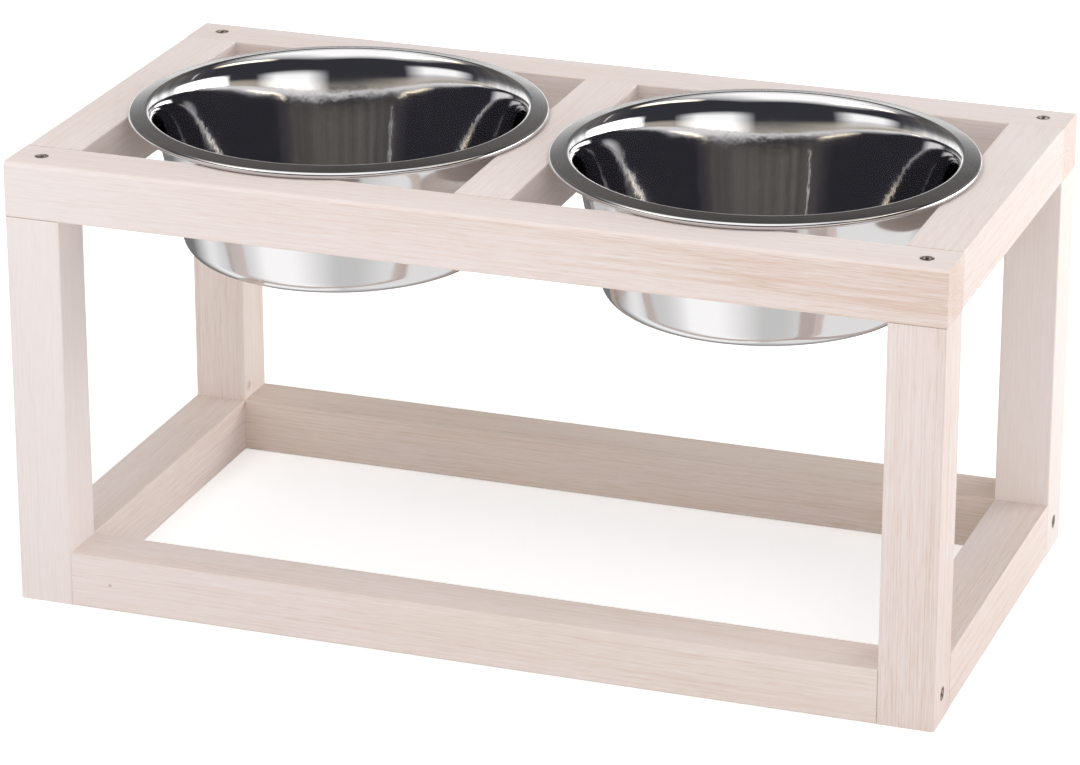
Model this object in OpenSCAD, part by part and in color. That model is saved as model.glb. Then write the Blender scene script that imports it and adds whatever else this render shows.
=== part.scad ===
// Dog feeder stand: a frame of square softwood battens that carries two steel bowls.
// Origin: centre of the footprint, on the floor. +X runs along the stand, +Y to the rear.

/* [Bowls] */
// Diameter of the bowl's mouth, at the crest of its lip
bowl_mouth_d = 233; // [180:1:280]
// Slope of the bowl's wall, from upright
wall_taper = 11.8; // [6:0.1:20]
// Distance that the wall comes in where it flares out to the lip
flare_w = 3.2; // [0.4:0.2:6]
// Height over which the flare fades into the straight wall
flare_h = 4; // [2:0.5:8]
// Depth of the bowl, from the underside of its rim to the underside of its base
bowl_depth = 84; // [60:1:120]
// Radius of the bend between the wall and the base, on the outside
bowl_corner_r = 12; // [5:0.5:25]
// Width of the rim, from the crest of the lip to its outer edge
rim_w = 10.5; // [8:0.5:15]
// Slope of the rim, down towards its outer edge
rim_slope = 10; // [4:1:18]
// Diameter of the rolled edge of the rim
bead_d = 4; // [3:0.25:5]
// Radius of the bend at the crest of the lip
lip_r = 2.5; // [1.5:0.25:4]
// Angle through which the edge of the rim is rolled
curl_turn = 250; // [180:5:270]
// Thickness of the bowl's sheet steel
sheet_t = 0.8; // [0.5:0.1:1.2]

/* [Stand] */
// Side of the square battens
batten = 34; // [28:1:45]
// Radius of the battens' long edges
edge_r = 1; // [0.5:0.25:4]
// Radius of the outer top edge of the long top rails
rail_edge_r = 3; // [1:0.5:8]
// Height of the stand, to the top of its rails
stand_h = 278; // [200:1:400]

/* [Dowels] */
// Diameter of a dowel
dowel_d = 8; // [6:0.5:10]
// Length of a dowel
dowel_len = 30; // [20:1:34]
// Chamfer at the ends of a dowel
dowel_chamfer = 1; // [0.5:0.25:2]
// Distance of a dowel from the middle of its joint, across and up
dowel_offset = 8; // [7:0.25:11]

/* [Screws] */
// Diameter of a screw over its thread
screw_d = 4.5; // [3.5:0.25:5.5]
// Diameter of a screw's head
screw_head_d = 8.4; // [7.5:0.1:10]
// Length of screw that grips in the second piece
screw_bite = 26; // [16:1:40]
// Length of a screw's point
screw_point = 5; // [3:0.5:8]
// Depth of a screw's head below the face of the wood
screw_sink = 0.3; // [0.1:0.1:1]
// Depth of the cross recess in a screw's head
recess_depth = 1.4; // [0.8:0.1:1.8]
// Width of each slot of the cross recess
recess_w = 1.2; // [0.8:0.1:1.6]
// Metal left outside the cross recess, at its floor
recess_wall = 0.5; // [0.3:0.1:1]

/* [Clearances] */
// Gap from the bowl's mouth to the rails, each side
bowl_clearance = 0.5; // [0.25:0.25:4]
// Gap from the bowl's rim to the top of the rails
bowl_seat_gap = 0.3; // [0.1:0.1:1]
// Gap around a dowel in its hole
dowel_clearance = 0.1; // [0.05:0.05:0.3]
// Gap between the end of a dowel and the end of its hole
dowel_end_gap = 0.5; // [0.25:0.25:1.5]
// Gap around a screw in its hole
screw_clearance = 0.1; // [0.05:0.05:0.3]

/* [Hidden] */
$fn = 96;

// Sides of the stand, as signs along X and Y
left = -1;
right = 1;
front = -1;
rear = 1;
centre = 0;

// Frame of the stand
opening = bowl_mouth_d + 2 * bowl_clearance;
stand_w = 2 * opening + 3 * batten;
post_h = stand_h - batten;
rail_x = opening + batten;
rail_y = (opening + batten) / 2;
bowl_x = rail_x / 2;
top_z = stand_h - batten / 2;
lower_z = batten / 2;
lower_long_len = stand_w - 2 * batten;

// Screw, measured down from the top of its head
screw_r = screw_d / 2;
screw_head_r = screw_head_d / 2;
screw_head_h = screw_head_r - screw_r;
screw_len = batten + screw_bite - screw_sink;
recess_len = 2 * (screw_head_r - recess_depth - recess_wall);

// Bowl profile, radius across and height up from the underside of the rolled edge.
// The rim band is tangent to the rolled edge and to the bend of the lip. The wall leaves the
// lip in a flare that fades with depth, and is tangent to the bend above the base.
bead_r = bead_d / 2;
mouth_r = bowl_mouth_d / 2;
bead_c = [mouth_r + rim_w - bead_r, bead_r];
band_out = [cos(rim_slope), -sin(rim_slope)];
band_up = [sin(rim_slope), cos(rim_slope)];
band_len = (bead_c.x + (bead_r - lip_r) * band_up.x - mouth_r) / band_out.x;
lip_c = bead_c - band_len * band_out + (bead_r - lip_r) * band_up;
flare_slope = atan(tan(wall_taper) + flare_w / flare_h);
flare_top = lip_c + lip_r * [-cos(flare_slope), sin(flare_slope)];
wall_down = [-sin(wall_taper), -cos(wall_taper)];
wall_in = [-cos(wall_taper), sin(wall_taper)];
corner_top = flare_top - [flare_w, 0] + (bowl_corner_r - sheet_t) * wall_in;
base_c = corner_top + (bowl_corner_r - bowl_depth - corner_top.y) / wall_down.y * wall_down;
wall_drop = flare_top.y - (base_c - (bowl_corner_r - sheet_t) * wall_in).y;
flare_fades = 6;
flare_drop = min(flare_fades * flare_h, wall_drop);
arc_steps = 16;

wood_colour = [0.93, 0.88, 0.83];
dowel_colour = [0.82, 0.68, 0.50];
screw_colour = [0.40, 0.38, 0.35];
steel_colour = [0.72, 0.73, 0.75];

// Batten: a square section with rounded long edges
module batten_section() {
    flat = batten - 2 * edge_r;
    square([batten, flat], center = true);
    square([flat, batten], center = true);
    for (x = [-1, 1], y = [-1, 1])
        translate([x * flat / 2, y * flat / 2])
            circle(r = edge_r);
}

// Section of a long top rail, on one side of the stand: its outer top edge is rounder
module rail_section(side) {
    inset = batten / 2 - rail_edge_r;
    difference() {
        batten_section();
        rotate(135 - 45 * side)
            translate([inset, inset])
                difference() {
                    square(batten);
                    circle(r = rail_edge_r);
                }
    }
}

module batten_along_z(length) {
    linear_extrude(height = length, center = true)
        batten_section();
}

module batten_along_x(length) {
    rotate([0, 90, 0])
        batten_along_z(length);
}

module batten_along_y(length) {
    rotate([90, 0, 0])
        batten_along_z(length);
}

// Screw with its head up and its top at the origin
module screw() {
    difference() {
        rotate_extrude()
            polygon([
                [0, 0],
                [screw_head_r, 0],
                [screw_r, -screw_head_h],
                [screw_r, screw_point - screw_len],
                [0, -screw_len]
            ]);
        for (turn = [0, 90])
            rotate([0, 0, turn])
                translate([-recess_len / 2, -recess_w / 2, -recess_depth])
                    cube([recess_len, recess_w, 2 * recess_depth]);
    }
}

// Countersunk hole for a screw, open above the face of the wood
module screw_hole() {
    hole_r = screw_r + screw_clearance;
    mouth_hole_r = screw_head_r + screw_clearance;
    rotate_extrude()
        polygon([
            [0, 2 * screw_sink],
            [mouth_hole_r, 2 * screw_sink],
            [mouth_hole_r, 0],
            [hole_r, -screw_head_h],
            [hole_r, -screw_len - screw_clearance],
            [0, -screw_len - screw_clearance]
        ]);
}

// Places for the screws that go down through the top rails into the posts
module at_top_screws() {
    for (x = [left, right], y = [front, rear])
        translate([x * rail_x, y * rail_y, stand_h - screw_sink])
            children();
}

// Places for the screws that go in through the posts into the lower long rails
module at_lower_screws() {
    for (x = [left, right], y = [front, rear])
        translate([x * (stand_w / 2 - screw_sink), y * rail_y, lower_z])
            rotate([0, x * 90, 0])
                children();
}

// Dowel with chamfered ends, centred on the origin, along Z
module dowel() {
    rotate_extrude()
        polygon([
            [0, -dowel_len / 2],
            [dowel_d / 2 - dowel_chamfer, -dowel_len / 2],
            [dowel_d / 2, dowel_chamfer - dowel_len / 2],
            [dowel_d / 2, dowel_len / 2 - dowel_chamfer],
            [dowel_d / 2 - dowel_chamfer, dowel_len / 2],
            [0, dowel_len / 2]
        ]);
}

module dowel_hole() {
    cylinder(r = dowel_d / 2 + dowel_clearance, h = dowel_len + 2 * dowel_end_gap, center = true);
}

// Places for the dowel pairs at both ends of a rail that runs front to rear.
// Each pair lies on a diagonal, low on the outside of the stand and high on the inside.
module at_cross_dowels(side, height) {
    for (y = [front, rear], step = [-1, 1])
        translate([
            side * rail_x - (side < 0 ? left : right) * step * dowel_offset,
            y * opening / 2,
            height + step * dowel_offset
        ])
            rotate([90, 0, 0])
                children();
}

// Places for the dowel below the screw at both ends of a lower long rail
module at_long_dowels(side) {
    for (x = [left, right])
        translate([x * lower_long_len / 2, side * rail_y, lower_z - dowel_offset])
            rotate([0, 90, 0])
                children();
}

// All the holes in the frame
module joinery_holes() {
    at_top_screws() screw_hole();
    at_lower_screws() screw_hole();
    for (side = [left, centre, right])
        at_cross_dowels(side, top_z) dowel_hole();
    for (side = [left, right])
        at_cross_dowels(side, lower_z) dowel_hole();
    for (side = [front, rear])
        at_long_dowels(side) dowel_hole();
}

// A batten of the frame, drilled for its screws and dowels
module drilled() {
    color(wood_colour)
        difference() {
            children();
            joinery_holes();
        }
}

module long_top_rail(side) {
    drilled()
        translate([0, side * rail_y, top_z])
            rotate([0, 90, 0])
                linear_extrude(height = stand_w, center = true)
                    rail_section(side);
}

module cross_top_rail(side) {
    drilled()
        translate([side * rail_x, 0, top_z])
            batten_along_y(opening);
}

module post(side_x, side_y) {
    drilled()
        translate([side_x * rail_x, side_y * rail_y, post_h / 2])
            batten_along_z(post_h);
}

module long_lower_rail(side) {
    drilled()
        translate([0, side * rail_y, lower_z])
            batten_along_x(lower_long_len);
}

module cross_lower_rail(side) {
    drilled()
        translate([side * rail_x, 0, lower_z])
            batten_along_y(opening);
}

// Points along an arc about a centre
function arc(centre_point, radius, from, to) = [
    for (i = [0 : arc_steps])
        let (angle = from + (to - from) * i / arc_steps)
        centre_point + radius * [cos(angle), sin(angle)]
];

// Points along one face of the sheet in the flare, from its foot to the lip
function flare(inset) = [
    for (i = [0 : arc_steps])
        let (drop = flare_drop * (1 - i / arc_steps))
        let (fade = exp(-drop / flare_h))
        let (slope = atan(tan(wall_taper) + flare_w / flare_h * fade))
        flare_top - [drop * tan(wall_taper) + flare_w * (1 - fade), drop]
            + inset * [cos(slope), -sin(slope)]
];

// Points in the other order
function reversed(points) = [for (i = [len(points) - 1 : -1 : 0]) points[i]];

// Section through one side of the bowl: along the inside of the sheet from the middle of
// the base to the end of the rolled edge, and back along the outside
module bowl_section() {
    band_angle = 90 - rim_slope;
    lip_angle = 180 - flare_slope;
    curl_angle = band_angle - curl_turn;
    polygon(concat(
        [[0, sheet_t - bowl_depth]],
        arc(base_c, bowl_corner_r - sheet_t, -90, -wall_taper),
        flare(0),
        arc(lip_c, lip_r, lip_angle, band_angle),
        arc(bead_c, bead_r, band_angle, curl_angle),
        arc(bead_c, bead_r - sheet_t, curl_angle, band_angle),
        arc(lip_c, lip_r - sheet_t, band_angle, lip_angle),
        reversed(flare(sheet_t)),
        arc(base_c, bowl_corner_r, -wall_taper, -90),
        [[0, -bowl_depth]]
    ));
}

module bowl(side) {
    color(steel_colour)
        translate([side * bowl_x, 0, stand_h + bowl_seat_gap])
            rotate_extrude()
                bowl_section();
}

module dowels() {
    color(dowel_colour)
        children();
}

module screws() {
    color(screw_colour)
        children();
}

module top_front_rail() { long_top_rail(front); }
module top_rear_rail() { long_top_rail(rear); }
module top_left_rail() { cross_top_rail(left); }
module top_centre_rail() { cross_top_rail(centre); }
module top_right_rail() { cross_top_rail(right); }
module front_left_post() { post(left, front); }
module front_right_post() { post(right, front); }
module rear_left_post() { post(left, rear); }
module rear_right_post() { post(right, rear); }
module lower_front_rail() { long_lower_rail(front); }
module lower_rear_rail() { long_lower_rail(rear); }
module lower_left_rail() { cross_lower_rail(left); }
module lower_right_rail() { cross_lower_rail(right); }
module top_left_dowels() { dowels() at_cross_dowels(left, top_z) dowel(); }
module top_centre_dowels() { dowels() at_cross_dowels(centre, top_z) dowel(); }
module top_right_dowels() { dowels() at_cross_dowels(right, top_z) dowel(); }
module lower_left_dowels() { dowels() at_cross_dowels(left, lower_z) dowel(); }
module lower_right_dowels() { dowels() at_cross_dowels(right, lower_z) dowel(); }
module lower_front_dowels() { dowels() at_long_dowels(front) dowel(); }
module lower_rear_dowels() { dowels() at_long_dowels(rear) dowel(); }
module top_screws() { screws() at_top_screws() screw(); }
module lower_screws() { screws() at_lower_screws() screw(); }
module left_bowl() { bowl(left); }
module right_bowl() { bowl(right); }

top_front_rail();
top_rear_rail();
top_left_rail();
top_centre_rail();
top_right_rail();
front_left_post();
front_right_post();
rear_left_post();
rear_right_post();
lower_front_rail();
lower_rear_rail();
lower_left_rail();
lower_right_rail();
top_left_dowels();
top_centre_dowels();
top_right_dowels();
lower_left_dowels();
lower_right_dowels();
lower_front_dowels();
lower_rear_dowels();
top_screws();
lower_screws();
left_bowl();
right_bowl();
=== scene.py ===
import math

import bmesh
import bpy
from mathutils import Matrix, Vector


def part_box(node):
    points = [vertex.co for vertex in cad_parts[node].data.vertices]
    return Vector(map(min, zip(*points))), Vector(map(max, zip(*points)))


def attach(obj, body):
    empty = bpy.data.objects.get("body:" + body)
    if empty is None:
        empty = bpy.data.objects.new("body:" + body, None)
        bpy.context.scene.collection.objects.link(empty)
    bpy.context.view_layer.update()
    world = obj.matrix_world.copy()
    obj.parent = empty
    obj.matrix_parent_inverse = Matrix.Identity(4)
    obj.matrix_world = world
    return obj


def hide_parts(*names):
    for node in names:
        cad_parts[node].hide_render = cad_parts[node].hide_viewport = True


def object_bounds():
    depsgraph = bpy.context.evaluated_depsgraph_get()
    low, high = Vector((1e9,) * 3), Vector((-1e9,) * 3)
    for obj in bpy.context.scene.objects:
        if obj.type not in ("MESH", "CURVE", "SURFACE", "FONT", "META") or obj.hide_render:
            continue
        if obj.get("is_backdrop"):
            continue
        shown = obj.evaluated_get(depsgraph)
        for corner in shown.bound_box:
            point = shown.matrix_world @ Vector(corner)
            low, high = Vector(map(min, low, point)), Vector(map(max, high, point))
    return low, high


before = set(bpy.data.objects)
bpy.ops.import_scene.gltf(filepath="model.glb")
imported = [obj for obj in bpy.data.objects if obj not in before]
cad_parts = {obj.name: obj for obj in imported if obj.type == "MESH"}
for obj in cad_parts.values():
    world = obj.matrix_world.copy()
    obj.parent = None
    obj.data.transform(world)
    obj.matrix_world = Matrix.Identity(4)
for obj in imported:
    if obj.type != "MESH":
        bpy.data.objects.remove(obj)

cad_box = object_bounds()


# Posts: four upright lengths of planed square softwood, one at each corner of the stand.
# The long edges come rounded off the moulder and the sawn ends are eased with sandpaper. A thin
# white wash is brushed on, and the grain shows through it in pale tan and pinkish streaks.

class Finish:
    """A surface finish: a material, its shader, and the nodes that feed it."""

    def __init__(self, name):
        self.material = bpy.data.materials.new(name)
        self.material.use_nodes = True
        self.tree = self.material.node_tree
        self.shader = self.tree.nodes["Principled BSDF"]

    def feed(self, socket, value):
        if isinstance(value, bpy.types.NodeSocket):
            self.tree.links.new(value, socket)
        else:
            socket.default_value = value

    def add(self, kind, *values, **settings):
        node = self.tree.nodes.new("ShaderNode" + kind)
        for name, setting in settings.items():
            setattr(node, name, setting)
        for socket, value in zip(node.inputs, values):
            self.feed(socket, value)
        return node

    def calc(self, operation, *values):
        return self.add("Math", *values, operation=operation).outputs[0]

    def scaled(self, place, scale):
        return self.add("VectorMath", place, scale, operation="MULTIPLY").outputs[0]

    def noise(self, place, detail=2.0):
        node = self.add("TexNoise")
        self.feed(node.inputs["Vector"], place)
        node.inputs["Scale"].default_value = 1.0
        node.inputs["Detail"].default_value = detail
        return node.outputs[0]

    def spread(self, value, low, high, to_low=0.0, to_high=1.0):
        return self.add("MapRange", value, low, high, to_low, to_high).outputs[0]

    def ramp(self, value, stops):
        node = self.add("ValToRGB", value)
        elements = node.color_ramp.elements
        while len(elements) < len(stops):
            elements.new(0.5)
        for element, (position, level) in zip(elements, stops):
            element.position = position
            element.color = level if isinstance(level, tuple) else (level, level, level, 1.0)
        return node.outputs[0]

    def mix(self, share, first, second):
        node = self.add("Mix", data_type="RGBA")
        self.feed(node.inputs[0], share)
        self.feed(node.inputs[6], first)
        self.feed(node.inputs[7], second)
        return node.outputs[2]

    def paint(self, **sockets):
        for name, value in sockets.items():
            self.feed(self.shader.inputs[name.replace("_", " ")], value)

    def bump(self, height, distance, strength=1.0):
        node = self.add("Bump")
        node.inputs["Strength"].default_value = strength
        node.inputs["Distance"].default_value = distance
        self.feed(node.inputs["Height"], height)
        self.feed(self.shader.inputs["Normal"], node.outputs[0])


def ease_ends(batten):
    eased_width = 0.0004
    flatness = math.radians(0.5)
    sharp = math.radians(50)
    merge = batten.modifiers.new("merge_flats", "DECIMATE")
    merge.decimate_type = "DISSOLVE"
    merge.angle_limit = flatness
    ease = batten.modifiers.new("ease_ends", "BEVEL")
    ease.width = eased_width
    ease.segments = 2
    ease.limit_method = "ANGLE"
    ease.angle_limit = sharp
    even = batten.modifiers.new("even_light", "WEIGHTED_NORMAL")
    even.keep_sharp = False


class Whitewash(Finish):
    """Whitewash on one batten, laid out along and across its grain."""

    def __init__(self, batten):
        super().__init__("whitewash_" + batten.name)
        low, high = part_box(batten.name)
        size = high - low
        self.along = max(range(3), key=lambda i: size[i])
        self.sides = [i for i in range(3) if i != self.along]
        self.half_length = size[self.along] / 2
        self.half_side = min(size) / 2
        self.coords = self.add("TexCoord").outputs["Object"]
        middle = (low + high) / 2
        local = self.add("VectorMath", self.coords, middle, operation="SUBTRACT").outputs[0]
        self.axes = self.add("SeparateXYZ", local).outputs
        self.facing = self.add("NewGeometry").outputs["Normal"]

    def streaked(self, lengthwise, crosswise, detail=2.0):
        scale = [crosswise] * 3
        scale[self.along] = lengthwise
        return self.noise(self.scaled(self.coords, scale), detail)

    def late_rings(self, pith, ring_gap):
        """The dark part of each growth ring, with the heart of the log `pith` metres away."""
        lean = 0.012
        bow = 0.0009
        ripple = 0.00016
        uneven_share = 1.1
        calc = self.calc
        bowed = self.spread(self.streaked(2.5, 9), 0.3, 0.7, -bow, bow)
        rippled = self.spread(self.streaked(16, 60), 0.3, 0.7, -ripple, ripple)
        wander = calc("ADD", bowed, rippled)
        squares = []
        for side, offset in zip(self.sides, pith):
            leaning = calc("MULTIPLY_ADD", self.axes[self.along], lean, self.axes[side])
            from_pith = calc("ADD", leaning, calc("SUBTRACT", wander, offset))
            squares.append(calc("MULTIPLY", from_pith, from_pith))
        distance = calc("SQRT", calc("ADD", *squares))
        uneven = self.add("TexNoise", noise_dimensions="1D")
        self.feed(uneven.inputs["W"], calc("DIVIDE", distance, 3.5 * ring_gap))
        rings = calc("MULTIPLY_ADD", uneven.outputs[0], uneven_share, calc("DIVIDE", distance, ring_gap))
        stops = [(0, 0), (0.45, 0.1), (0.84, 1.0), (0.94, 0.8), (1.0, 0.0)]
        broken = self.spread(self.streaked(26, 420), 0.36, 0.62, 0.1, 1.0)
        return calc("MULTIPLY", self.ramp(calc("FRACT", rings), stops), broken)

    def thin_places(self, first_end, last_end, upper_face_grain_and_light):
        """How far the grain shows through the wash, which soaks away at the sawn ends. On faces that look
        up the share is set apart, which also paints light and shade from above.
        """
        end_grain = 0.75
        calc = self.calc
        upward_grain_and_light = self.spread(self.add("SeparateXYZ", self.facing).outputs[2], 0.3, 0.9)
        reach = self.half_length
        on_sides = self.spread(self.axes[self.along], -reach, reach, first_end, last_end)
        # Faces that look up take a grain share of their own. This is partly painted light and shade: less
        # grain on the lit tops of the top rails, and more on the lower rails, which lie in shade under
        # the top frame.
        showing = self.spread(upward_grain_and_light, 0.0, 1.0, on_sides, upper_face_grain_and_light)
        showing = calc("MULTIPLY", showing, self.spread(self.streaked(5, 30), 0.3, 0.7, 0.6, 1.25))
        end_axis = [0.0, 0.0, 0.0]
        end_axis[self.along] = 1.0
        end_dot = self.add("VectorMath", self.facing, end_axis, operation="DOT_PRODUCT").outputs["Value"]
        on_end = self.spread(calc("ABSOLUTE", end_dot), 0.6, 0.95, 0.0, end_grain)
        return calc("MAXIMUM", showing, on_end)

    def rubbed_edges(self):
        """Where the brush and the sandpaper take the wash off the long edges."""
        outer, inner = 0.0006, 0.0022
        calc = self.calc
        edge = calc("MINIMUM", *(calc("ABSOLUTE", self.axes[side]) for side in self.sides))
        near_edge = self.spread(edge, self.half_side - inner, self.half_side - outer)
        return calc("MULTIPLY", near_edge, self.streaked(30, 160, 3.0))

    def knot_share(self, spot, direction, radius, depth):
        """A knot at `spot` on the face across `direction`, `depth` dark in its middle."""
        away = self.add("VectorMath", self.coords, spot, operation="SUBTRACT").outputs[0]
        flat = [1.0, 1.0, 1.0]
        flat[direction] = 0.0
        reach = self.add("VectorMath", self.scaled(away, flat), operation="LENGTH").outputs["Value"]
        return self.spread(reach, 1.3 * radius, 0.4 * radius, 0.0, depth)


def brush_whitewash(batten, pith, ring_gap, cover, cream, knots):
    """Wood cut `pith` metres from the heart of its log, with rings `ring_gap` metres apart.
    `cover` is how far the grain shows through the wash at the two ends and on the upper face,
    where its share also paints light and shade falling from above, and `cream` is how far the
    wash has yellowed on the wood."""
    washed_pink = (0.87, 0.795, 0.795, 1.0)
    washed_cream = (0.87, 0.77, 0.69, 1.0)
    latewood_tan = (0.71, 0.545, 0.455, 1.0)
    thick_white = (0.91, 0.86, 0.85, 1.0)
    bare_edge = (0.78, 0.67, 0.60, 1.0)
    knot_brown = (0.52, 0.38, 0.31, 1.0)
    early_tint, late_tint = 0.56, 0.9
    grain_relief = 0.00007
    finish = Whitewash(batten)
    calc = finish.calc
    latewood = finish.late_rings(pith, ring_gap)
    showing = finish.thin_places(*cover)
    fibre = finish.streaked(3, 820)
    dashes = finish.streaked(65, 1500, 1.0)

    tint = calc("MULTIPLY", finish.spread(latewood, 0.0, 1.0, early_tint, late_tint), showing)
    fibre_tint = finish.spread(fibre, 0.45, 0.72, 0.0, 0.5)
    tint = calc("ADD", tint, calc("MULTIPLY", fibre_tint, calc("ADD", showing, 0.12)))
    dash_tint = finish.spread(dashes, 0.56, 0.72, 0.0, 0.4)
    tint = calc("ADD", tint, calc("MULTIPLY", dash_tint, calc("ADD", showing, 0.2)))
    yellowed = finish.spread(finish.streaked(4, 16), 0.35, 0.65, 0.6 * cream, 1.4 * cream)
    wash = finish.mix(yellowed, washed_pink, washed_cream)
    colour = finish.mix(calc("MINIMUM", tint, 1.0), wash, latewood_tan)
    colour = finish.mix(finish.spread(dashes, 0.43, 0.29, 0.0, 0.3), colour, thick_white)
    colour = finish.mix(calc("MULTIPLY", finish.rubbed_edges(), 0.4), colour, bare_edge)
    for knot in knots:
        colour = finish.mix(finish.knot_share(*knot), colour, knot_brown)

    relief = calc("ADD", fibre, calc("MULTIPLY", dashes, 0.5))
    relief = calc("ADD", calc("MULTIPLY", latewood, 0.4), relief)
    matt = finish.spread(fibre, 0.3, 0.8, 0.52, 0.68)
    finish.paint(Base_Color=colour, Roughness=matt, Specular_IOR_Level=0.25)
    finish.bump(relief, grain_relief)
    batten.data.materials.clear()
    batten.data.materials.append(finish.material)


def finish_batten(name, pith, ring_gap, cover, cream, knots=()):
    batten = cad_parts[name]
    ease_ends(batten)
    brush_whitewash(batten, pith, ring_gap, cover, cream, knots)


inner_face_knot = [((-0.251, 0.124, 0.042), 0, 0.0032, 0.6)]
finish_batten("front_left_post", (0.060, 0.025), 0.0027, (0.12, 0.03, 0.3), 0.15)
finish_batten("front_right_post", (-0.082, -0.030), 0.0021, (0.6, 0.5, 0.3), 0.1)
finish_batten("rear_left_post", (0.034, -0.066), 0.0029, (0.4, 0.5, 0.3), 0.4, inner_face_knot)
# The rear right post shows hardly any grain. This lighter colour is painted light on its shaded front
# face.
finish_batten("rear_right_post", (-0.081, 0.026), 0.0026, (0.06, 0.04, 0.3), 0.5)


# Lower rails: two long and two short battens that tie the posts together on the floor. The long
# ones are screwed through the posts, and the short ones are held between the posts by dowels.
pin_knot = [((-0.226, -0.151, 0.0165), 1, 0.0010, 0.8)]
finish_batten("lower_front_rail", (0.041, 0.058), 0.0036, (0.3, 0.5, 0.45), 0.4, pin_knot)
# The lower rear rail shows more grain and a yellower wash than the other lower rails. This partly paints
# the warm shade it lies in under the top frame.
finish_batten("lower_rear_rail", (-0.036, 0.062), 0.0028, (0.4, 0.65, 0.6), 1.0)
finish_batten("lower_left_rail", (0.055, 0.039), 0.0033, (0.35, 0.45, 0.4), 0.5)
finish_batten("lower_right_rail", (-0.088, 0.022), 0.0022, (0.5, 0.4, 0.45), 0.4)


# Top rails: two long battens screwed down on the posts, with three short ones held between them
# by dowels. They leave two square openings, and the bowls hang in these by their rims.
finish_batten("top_front_rail", (0.045, -0.085), 0.0028, (0.08, 1.1, 0.35), 0.1)
finish_batten("top_rear_rail", (-0.055, -0.038), 0.0032, (0.4, 0.4, 0.3), 0.2)
finish_batten("top_left_rail", (0.050, -0.047), 0.0034, (0.35, 0.5, 0.3), 0.2)
finish_batten("top_centre_rail", (-0.043, -0.056), 0.0030, (0.35, 0.5, 0.3), 0.2)
finish_batten("top_right_rail", (0.038, 0.061), 0.0033, (0.4, 0.5, 0.3), 0.2)


# Dowels: beech pins glued into blind holes where the rails butt together. Their sides are pressed
# into straight flutes, which let the glue and the air out, and their ends are chamfered.
dowel_groups = [
    "top_left_dowels", "top_centre_dowels", "top_right_dowels",
    "lower_left_dowels", "lower_right_dowels", "lower_front_dowels", "lower_rear_dowels",
]
dowel_chamfer = 0.001
flutes = 20
flute_depth = 0.0003


def loose_boxes(node):
    """Corners of the box around each separate piece of a group."""
    made = bmesh.new()
    made.from_mesh(node.data)
    bmesh.ops.remove_doubles(made, verts=made.verts, dist=1e-6)
    waiting = set(made.verts)
    boxes = []
    while waiting:
        reached = [waiting.pop()]
        places = []
        while reached:
            vert = reached.pop()
            places.append(node.matrix_world @ vert.co)
            following = [edge.other_vert(vert) for edge in vert.link_edges]
            following = [other for other in following if other in waiting]
            waiting.difference_update(following)
            reached.extend(following)
        corners = [Vector([pick(place[i] for place in places) for i in range(3)]) for pick in (min, max)]
        boxes.append(corners)
    made.free()
    return sorted(boxes, key=lambda box: [round(c, 4) for c in box[0]])


def stack_rings(made, rings, turn):
    """Faces from ring to ring, where a ring of one point closes the end, and `turn` places the piece."""
    placed = [[made.verts.new(turn(point)) for point in ring] for ring in rings]
    for ring, following in zip(placed, placed[1:]):
        count = max(len(ring), len(following))
        for i in range(count):
            j = (i + 1) % count
            corners = [ring[i % len(ring)], ring[j % len(ring)]]
            corners += [following[j % len(following)], following[i % len(following)]]
            made.faces.new(list(dict.fromkeys(corners))).smooth = True


def along_axis(low, high):
    """Turns a point given across, across and along from one end into its place in the stand."""
    size = high - low
    axis = max(range(3), key=lambda i: size[i])
    middle = (low + high) / 2
    outward = 1 if middle[axis] > 0 else -1
    end = high[axis] if outward > 0 else low[axis]

    def turn(point):
        place = middle.copy()
        place[axis] = end - outward * point[2]
        place[(axis + 1) % 3] += point[0]
        place[(axis + 2) % 3] += point[1] * outward
        return place

    return turn, size[axis], min(size) / 2


def replace_group(name, suffix, shape, material):
    """One mesh for a group of like pieces, in the place of the plain solids."""
    made = bmesh.new()
    for low, high in loose_boxes(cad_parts[name]):
        turn, length, radius = along_axis(low, high)
        stack_rings(made, shape(length, radius), turn)
    bmesh.ops.recalc_face_normals(made, faces=made.faces)
    mesh = bpy.data.meshes.new(name + suffix)
    made.to_mesh(mesh)
    made.free()
    mesh.materials.append(material)
    group = bpy.data.objects.new(name + suffix, mesh)
    bpy.context.scene.collection.objects.link(group)
    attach(group, "stand")
    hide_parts(name)


def fluted_dowel(length, radius):
    steps = 6 * flutes
    angles = [2 * math.pi * i / steps for i in range(steps)]

    def ring(depth, outer):
        waves = [0.5 - 0.5 * math.cos(flutes * a) for a in angles]
        radii = [min(outer, radius - flute_depth * wave ** 2) for wave in waves]
        return [(r * math.cos(a), r * math.sin(a), depth) for r, a in zip(radii, angles)]

    tip = radius - dowel_chamfer
    levels = [(0.0, tip), (dowel_chamfer, radius), (length - dowel_chamfer, radius), (length, tip)]
    return [[(0, 0, 0)], *(ring(*level) for level in levels), [(0, 0, length)]]


def turn_beech():
    beech_light = (0.62, 0.44, 0.28, 1.0)
    beech_dark = (0.48, 0.31, 0.18, 1.0)
    fleck_relief = 0.0001
    finish = Finish("dowel_beech")
    coords = finish.add("TexCoord").outputs["Object"]
    flecks = finish.noise(finish.scaled(coords, (900, 300, 900)), 3.0)
    finish.paint(
        Base_Color=finish.mix(finish.spread(flecks, 0.4, 0.7), beech_light, beech_dark),
        Roughness=finish.spread(flecks, 0.3, 0.8, 0.55, 0.7),
    )
    finish.bump(flecks, fleck_relief)
    return finish.material


beech = turn_beech()
for name in dowel_groups:
    replace_group(name, "_fluted", fluted_dowel, beech)


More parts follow.
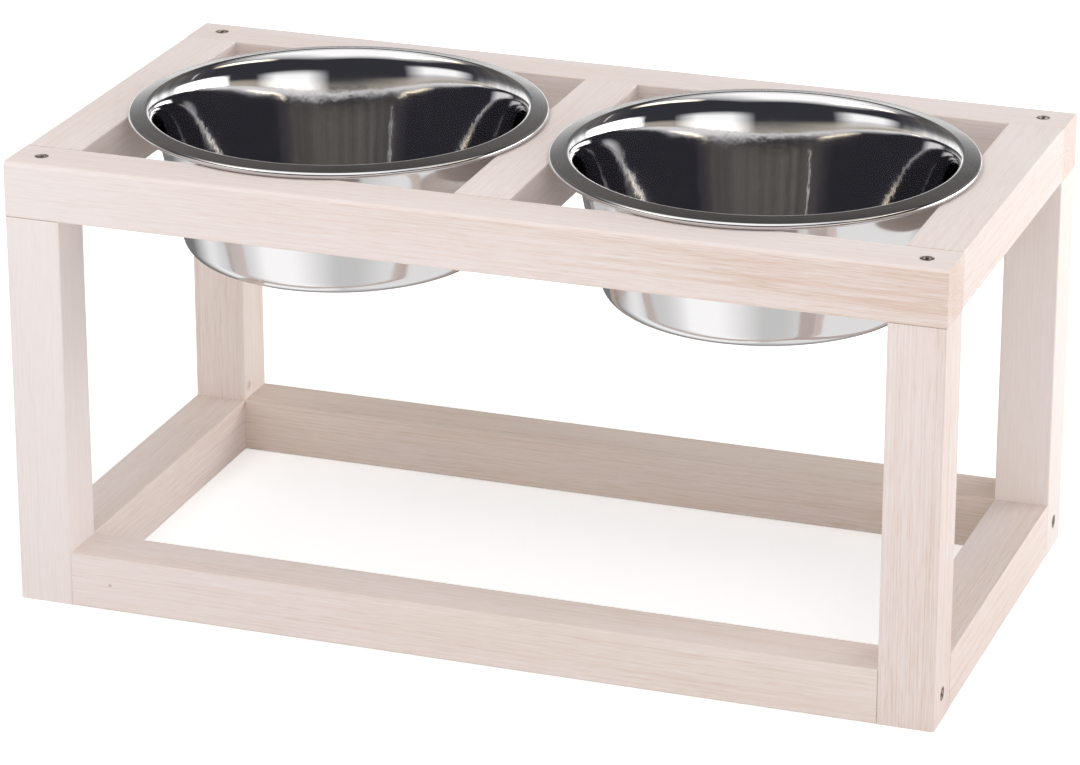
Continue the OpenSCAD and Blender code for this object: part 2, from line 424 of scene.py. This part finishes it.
# Screws: countersunk steel wood screws with a cross recess and a coarse rolled thread, plated and
# dull. Four go down through the top rails into the posts, and four go in through the posts into
# the lower long rails. Their heads lie a little below the wood.
screw_pitch = 0.0022
screw_core = 0.00145
screw_crest = 0.00225
screw_shank = 0.0017
thread_start = 0.022
screw_point = 0.006
head_dome = 0.0002
head_edge = 0.0002
recess_depth = 0.0016
recess_reach = 0.0027
recess_half_width = 0.0007
recess_wall = 0.0002
recess_end = 0.0005
shank_gap = 0.0005


def threaded_screw(length, radius):
    steps = 48
    face_rings = 26
    rings_per_turn = 12
    ridge_half_width = 0.22
    angles = [2 * math.pi * i / steps for i in range(steps)]
    head_height = radius - screw_shank

    def recess(x, y):
        along = max(abs(x), abs(y))
        across = min(abs(x), abs(y))
        wall = min(1.0, max(0.0, (recess_half_width - across) / recess_wall + 0.5))
        end = min(1.0, max(0.0, (recess_reach - along) / recess_end))
        return recess_depth * wall * end

    def face_ring(r):
        points = [(r * math.cos(a), r * math.sin(a)) for a in angles]
        return [(x, y, head_dome * ((r / radius) ** 2 - 1) + recess(x, y)) for x, y in points]

    def round_ring(r, depth):
        return [(r * math.cos(a), r * math.sin(a), depth) for a in angles]

    def thread_ring(depth):
        taper = min(1.0, (length - depth) / screw_point)
        run_in = min(1.0, (depth - thread_start) / screw_pitch)
        ring = []
        for a in angles:
            phase = (depth / screw_pitch - a / (2 * math.pi)) % 1.0
            ridge = max(0.0, 1.0 - abs(phase - 0.5) / ridge_half_width)
            core = screw_shank + (screw_core - screw_shank) * run_in
            r = taper * (core + (screw_crest - core) * ridge * run_in)
            ring.append((r * math.cos(a), r * math.sin(a), depth))
        return ring

    rings = [[(0, 0, recess_depth - head_dome)]]
    rings += [face_ring(radius * i / face_rings) for i in range(1, face_rings + 1)]
    rings += [round_ring(radius, head_edge), round_ring(screw_shank, head_edge + head_height)]
    rings += [round_ring(screw_shank, thread_start - shank_gap)]
    threaded = length - thread_start
    levels = int(threaded / screw_pitch * rings_per_turn)
    rings += [thread_ring(thread_start + threaded * i / levels) for i in range(levels)]
    return rings + [[(0, 0, length)]]


def plate_screws():
    plating = (0.62, 0.56, 0.50, 1.0)
    tarnish = (0.20, 0.16, 0.13, 1.0)
    stain_relief = 0.00003
    finish = Finish("screw_steel")
    coords = finish.add("TexCoord").outputs["Object"]
    stains = finish.noise(finish.scaled(coords, (420, 420, 420)), 3.0)
    finish.paint(
        Base_Color=finish.mix(finish.spread(stains, 0.42, 0.58), plating, tarnish),
        Metallic=1.0,
        Roughness=finish.spread(stains, 0.3, 0.7, 0.26, 0.42),
    )
    finish.bump(stains, stain_relief)
    return finish.material


plated_steel = plate_screws()
for name in ("top_screws", "lower_screws"):
    replace_group(name, "_threaded", threaded_screw, plated_steel)


# Bowls: one-piece stainless steel pressings, from a flat base up a tapering wall and over a lip to
# a sloping satin rim and a rolled edge, which lies on the rails. The inside is polished, with
# faint marks from the drawing press, and the outside is brushed.
sheet = 0.0008
bead_radius = 0.002
lip_radius = 0.0025
flare_width = 0.0032
flare_height = 0.004
rim_slope = math.radians(10)
rim_width = 0.0105
wall_taper = math.radians(11.8)
corner_radius = 0.012
curl_turn = math.radians(250)
bowl_segments = 288


def bend(centre, radius, start, end, steps):
    """Points along a bend of the sheet, as radius and height."""
    angles = [start + (end - start) * i / steps for i in range(steps + 1)]
    return [centre + radius * Vector((math.cos(a), math.sin(a))) for a in angles]


def pressed_section(low, high):
    """The sheet's two faces, from the middle of the base to the rolled edge, and where the rim starts."""
    rim_radius = (high.x - low.x) / 2
    band_up = Vector((math.sin(rim_slope), math.cos(rim_slope)))
    band_out = Vector((math.cos(rim_slope), -math.sin(rim_slope)))
    crest = rim_radius - rim_width
    rise = (rim_width - bead_radius + (bead_radius - lip_radius) * band_up.x) / band_out.x
    lip = Vector((crest, high.z - lip_radius))
    bead = lip + rise * band_out + (lip_radius - bead_radius) * band_up
    steepest = math.atan(math.tan(wall_taper) + flare_width / flare_height)
    flare_top = lip + lip_radius * Vector((-math.cos(steepest), math.sin(steepest)))
    wall_in = Vector((-math.cos(wall_taper), math.sin(wall_taper)))
    wall_down = Vector((-math.sin(wall_taper), -math.cos(wall_taper)))
    corner = flare_top - Vector((flare_width, 0.0)) + (corner_radius - sheet) * wall_in
    corner += wall_down * ((low.z + corner_radius - corner.y) / wall_down.y)
    band_angle = math.pi / 2 - rim_slope
    lip_angle = math.pi - steepest
    curl_end = band_angle - curl_turn
    flare_steps = 32
    flare_fade = 6
    corner_steps, lip_steps, bead_steps = 16, 12, 28

    def flare(inset):
        points = []
        for i in range(flare_steps + 1):
            drop = flare_fade * flare_height * (1 - i / flare_steps) ** 1.5
            fade = math.exp(-drop / flare_height)
            slope = math.atan(math.tan(wall_taper) + flare_width / flare_height * fade)
            inward = drop * math.tan(wall_taper) + flare_width * (1 - fade)
            into_sheet = Vector((math.cos(slope), -math.sin(slope)))
            points.append(flare_top - Vector((inward, drop)) + inset * into_sheet)
        return points

    faces = []
    for inset in (0.0, sheet):
        wall = (
            [Vector((0.0, low.z + sheet - inset))]
            + bend(corner, corner_radius - sheet + inset, -math.pi / 2, -wall_taper, corner_steps)
            + flare(inset)
            + bend(lip, lip_radius - inset, lip_angle, band_angle, lip_steps)
        )
        faces.append(wall + bend(bead, bead_radius - inset, band_angle, curl_end, bead_steps))
    return faces, len(wall) - 1


def spin_bowl(name, polished, satin, brushed):
    low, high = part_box(name)
    axis = (low + high) / 2
    (inside, outside), rim_start = pressed_section(low, high)
    outline = inside + outside[::-1]
    mesh = bpy.data.meshes.new(name + "_pressing")
    made = bmesh.new()
    rings = []
    for point in outline:
        if point.x < 1e-6:
            rings.append([made.verts.new((axis.x, axis.y, point.y))])
            continue
        turns = [2 * math.pi * i / bowl_segments for i in range(bowl_segments)]
        rings.append([
            made.verts.new((axis.x + point.x * math.cos(t), axis.y + point.x * math.sin(t), point.y))
            for t in turns
        ])
    for index, (ring, following) in enumerate(zip(rings, rings[1:])):
        for i in range(bowl_segments):
            j = (i + 1) % bowl_segments
            corners = [ring[i % len(ring)], ring[j % len(ring)]]
            corners += [following[j % len(following)], following[i % len(following)]]
            face = made.faces.new(list(dict.fromkeys(corners))[::-1])
            face.smooth = True
            if index >= len(outline) - rim_start:
                face.material_index = 2
            else:
                face.material_index = 1 if index == rim_start else 0
    bmesh.ops.recalc_face_normals(made, faces=made.faces)
    made.to_mesh(mesh)
    made.free()
    for steel in (polished, satin, brushed):
        mesh.materials.append(steel)
    bowl = bpy.data.objects.new(name + "_pressing", mesh)
    bpy.context.scene.collection.objects.link(bowl)
    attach(bowl, name)
    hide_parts(name)


def around(finish, waves):
    """Place on a unit circle about the middle of the bowl, so that marks run straight up the wall."""
    left_axis = (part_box("left_bowl")[0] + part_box("left_bowl")[1]) / 2
    right_axis = (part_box("right_bowl")[0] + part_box("right_bowl")[1]) / 2
    coords = finish.add("TexCoord").outputs["Object"]
    sideways = finish.add("SeparateXYZ", coords).outputs[0]
    on_right = finish.calc("GREATER_THAN", sideways, 0.0)
    axis = finish.mix(on_right, (*left_axis, 1.0), (*right_axis, 1.0))
    out = finish.add("VectorMath", coords, axis, operation="SUBTRACT").outputs[0]
    level = finish.scaled(out, (1.0, 1.0, 0.0))
    turn = finish.add("VectorMath", level, operation="NORMALIZE").outputs[0]
    return finish.scaled(turn, (waves, waves, waves))


def polish_steel():
    bright_steel = (0.66, 0.65, 0.65, 1.0)
    press_marks = 18.0
    mark_depth = 0.00002
    ripples_end, ripples_full = 0.018, 0.034
    finish = Finish("bowl_polish")
    coords = finish.add("TexCoord").outputs["Object"]
    marks = finish.noise(around(finish, press_marks), 4.0)
    ripples = finish.noise(finish.scaled(coords, (150, 150, 110)), 2.0)
    rim_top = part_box("left_bowl")[1].z
    height = finish.add("SeparateXYZ", coords).outputs[2]
    rippled = finish.spread(height, rim_top - ripples_full, rim_top - ripples_end, 2.4, 0.2)
    smudges = finish.noise(finish.scaled(coords, (30, 30, 30)), 3.0)
    finish.paint(
        Base_Color=bright_steel,
        Metallic=1.0,
        Roughness=finish.spread(smudges, 0.3, 0.7, 0.035, 0.06),
    )
    finish.bump(finish.calc("MULTIPLY_ADD", ripples, rippled, marks), mark_depth)
    return finish.material


def satin_steel():
    satin_grey = (0.45, 0.44, 0.44, 1.0)
    finish = Finish("bowl_rim_satin")
    coords = finish.add("TexCoord").outputs["Object"]
    clouds = finish.noise(finish.scaled(coords, (60, 60, 60)), 2.0)
    finish.paint(
        Base_Color=satin_grey,
        Metallic=1.0,
        Roughness=finish.spread(clouds, 0.3, 0.7, 0.20, 0.25),
    )
    return finish.material


def brush_steel():
    brushed_grey = (0.72, 0.71, 0.71, 1.0)
    hairline_depth = 0.000004
    finish = Finish("bowl_outside_brushed")
    coords = finish.add("TexCoord").outputs["Object"]
    hairlines = finish.noise(finish.scaled(coords, (6, 6, 1800)), 3.0)
    finish.paint(
        Base_Color=brushed_grey,
        Metallic=1.0,
        Roughness=finish.spread(hairlines, 0.3, 0.7, 0.08, 0.13),
    )
    finish.bump(hairlines, hairline_depth)
    return finish.material


polished = polish_steel()
satin = satin_steel()
brushed = brush_steel()
for name in ("left_bowl", "right_bowl"):
    spin_bowl(name, polished, satin, brushed)


# Studio: a pale floor that runs off into white, a dim room that the steel mirrors, soft lamps and
# the camera. None of this belongs to the stand.
camera_from = Vector((0.8664, -2.4592, 1.1274))
camera_aim = Vector((-0.0055, 0.0, 0.1207))
camera_lens = 153.72
film_width = 36.0
floor_reach = 1.7
soft_edge = 0.3
white = (1.0, 1.0, 1.0, 1.0)


def lay_floor():
    made = bmesh.new()
    bmesh.ops.create_circle(made, cap_ends=True, segments=96, radius=floor_reach)
    mesh = bpy.data.meshes.new("floor")
    made.to_mesh(mesh)
    made.free()
    floor = bpy.data.objects.new("floor", mesh)
    bpy.context.scene.collection.objects.link(floor)
    floor_white = (0.92, 0.92, 0.92, 1.0)
    glow_near, glow_far = 0.4, 0.9
    finish = Finish("floor_white")
    coords = finish.add("TexCoord").outputs["Object"]
    away = finish.add("VectorMath", coords, operation="LENGTH").outputs["Value"]
    rays = finish.add("LightPath").outputs
    glow = finish.spread(away, 0.4, 1.5, glow_near, glow_far)
    glow = finish.calc("MULTIPLY", rays["Is Camera Ray"], glow)
    finish.paint(Base_Color=floor_white, Roughness=0.9, Specular_IOR_Level=0.0)
    finish.paint(Emission_Color=white, Emission_Strength=glow)
    mesh.materials.append(finish.material)
    floor.visible_glossy = False
    floor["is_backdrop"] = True


class Room(Finish):
    """The world around the stage, built with the same nodes as a finish."""

    def __init__(self):
        world = bpy.data.worlds.new("room")
        world.use_nodes = True
        bpy.context.scene.world = world
        self.tree = world.node_tree
        self.tree.nodes.clear()

    def light(self, colour, strength=1.0):
        return self.add("Background", colour, strength).outputs[0]

    def choose(self, share, first, second):
        return self.add("MixShader", share, first, second).outputs[0]


def paint_room():
    room = Room()
    rays = room.add("LightPath").outputs
    towards = room.add("TexCoord").outputs["Generated"]
    height = room.add("SeparateXYZ", towards).outputs[2]
    from_camera = (camera_aim - camera_from).normalized()
    flat_view = Vector((from_camera.x, from_camera.y, 0.0)).normalized()
    ahead = room.add("VectorMath", towards, flat_view, operation="DOT_PRODUCT").outputs["Value"]
    pale_cream = (0.80, 0.74, 0.65, 1.0)
    cream = (0.55, 0.50, 0.43, 1.0)
    taupe = (0.23, 0.215, 0.20, 1.0)
    dusk = (0.045, 0.045, 0.058, 1.0)
    front_stops = [(0.0, pale_cream), (0.05, cream), (0.10, cream), (0.13, dusk), (1.0, dusk)]
    front_wall = room.ramp(height, front_stops)
    level = room.scaled(towards, (1.0, 1.0, 0.0))
    level = room.add("VectorMath", level, operation="NORMALIZE").outputs[0]
    drapes = room.spread(room.noise(room.scaled(level, (6.0, 6.0, 6.0)), 4.0), 0.3, 0.7, 0.5, 1.35)
    back_stops = [(0.0, 1.5), (0.12, 1.4), (0.24, 0.35), (0.34, 0.2)]
    back_stops += [(0.5, taupe), (0.75, 0.06), (1.0, 0.03)]
    back_wall = room.scaled(room.ramp(height, back_stops), drapes)
    walls = room.mix(room.spread(ahead, 0.0, 0.7), front_wall, back_wall)
    to_right = Vector((flat_view.y, -flat_view.x, 0.0))
    sideways = room.add("VectorMath", level, to_right, operation="DOT_PRODUCT").outputs["Value"]
    near_floor = room.ramp(
        room.spread(sideways, -1.0, 1.0),
        [(0.0, 0.8), (0.06, 1.3), (0.2, 1.3), (0.48, 0.75), (0.64, 0.75), (0.85, 1.0), (1.0, 1.0)],
    )
    far_floor = (0.22, 0.22, 0.22, 1.0)
    below = room.mix(room.spread(ahead, 0.3, 0.7), near_floor, far_floor)
    walls = room.mix(room.spread(height, -0.02, 0.0), below, walls)
    sweep = room.ramp(height, [(0.0, 1.16), (0.3, 0.72), (0.6, 0.38), (1.0, 0.2)])
    off_camera = room.choose(rays["Is Glossy Ray"], room.light(sweep), room.light(walls))
    everything = room.choose(rays["Is Camera Ray"], off_camera, room.light(white))
    room.add("OutputWorld", everything)


class Diffuser(Finish):
    """The cloth over a lamp, which is brightest in the middle and fades out at its edges."""

    def __init__(self, light):
        light.use_nodes = True
        self.tree = light.node_tree
        over_cloth = self.add("SeparateXYZ", self.add("NewGeometry").outputs["Parametric"]).outputs
        from_edge = [self.calc("PINGPONG", side, 0.5) for side in over_cloth[:2]]
        glow = self.calc("MULTIPLY", *(self.spread(gap, 0.0, soft_edge) for gap in from_edge))
        self.feed(self.tree.nodes["Emission"].inputs["Strength"], glow)


def hang_lamp(name, place, aim, width, height, radiance, tint=white[:3]):
    light = bpy.data.lights.new(name, "AREA")
    light.shape = "RECTANGLE"
    light.size = width / (1 - soft_edge)
    light.size_y = height / (1 - soft_edge)
    light.energy = radiance * math.pi * light.size * light.size_y
    light.color = tint
    Diffuser(light)
    lamp = bpy.data.objects.new(name, light)
    lamp.location = place
    lamp.rotation_euler = (Vector(aim) - Vector(place)).to_track_quat("-Z", "Y").to_euler()
    lamp.visible_camera = False
    bpy.context.scene.collection.objects.link(lamp)
    return lamp


lay_floor()
paint_room()
rim_height = (0.0, 0.0, 0.28)
hang_lamp("right_softbox", (1.94, -1.58, 0.56), rim_height, 1.67, 0.43, 1.4)
hang_lamp("left_softbox", (-1.90, -1.62, 0.86), rim_height, 1.67, 0.52, 1.4)
hang_lamp("side_panel", (1.32, 0.91, 0.50), rim_height, 1.16, 0.38, 7.5)
hang_lamp("overhead_softbox", (-0.15, -0.68, 1.78), (-0.15, -0.68, 0.0), 2.4, 2.35, 1.44)
hang_lamp("strip_light", (1.15, 1.11, 1.11), rim_height, 0.06, 0.34, 0.8)

# The fill shows in no reflection, and the warm cards show only in reflections.
front_fill = hang_lamp("front_fill", (1.7, -2.0, 0.75), rim_height, 1.4, 0.7, 0.5)
front_fill.visible_glossy = False
warm_card = (1.0, 0.88, 0.68)
right_card = hang_lamp("right_card", (1.32, 0.10, 1.65), rim_height, 1.1, 0.2, 3.5, warm_card)
left_card = hang_lamp("left_card", (-1.09, -0.75, 1.65), rim_height, 1.1, 0.2, 3.5, warm_card)
for card in (right_card, left_card):
    card.visible_diffuse = False

camera = bpy.data.objects.new("camera", bpy.data.cameras.new("camera"))
camera.data.lens = camera_lens
camera.data.sensor_width = film_width
camera.location = camera_from
camera.rotation_euler = (camera_aim - camera_from).to_track_quat("-Z", "Y").to_euler()
bpy.context.scene.collection.objects.link(camera)
bpy.context.scene.camera = camera
bpy.context.scene.view_settings.view_transform = "Standard"

boxes = {"cad": cad_box, "visual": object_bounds()}
plain_boxes = {name: [list(corner) for corner in box] for name, box in boxes.items()}
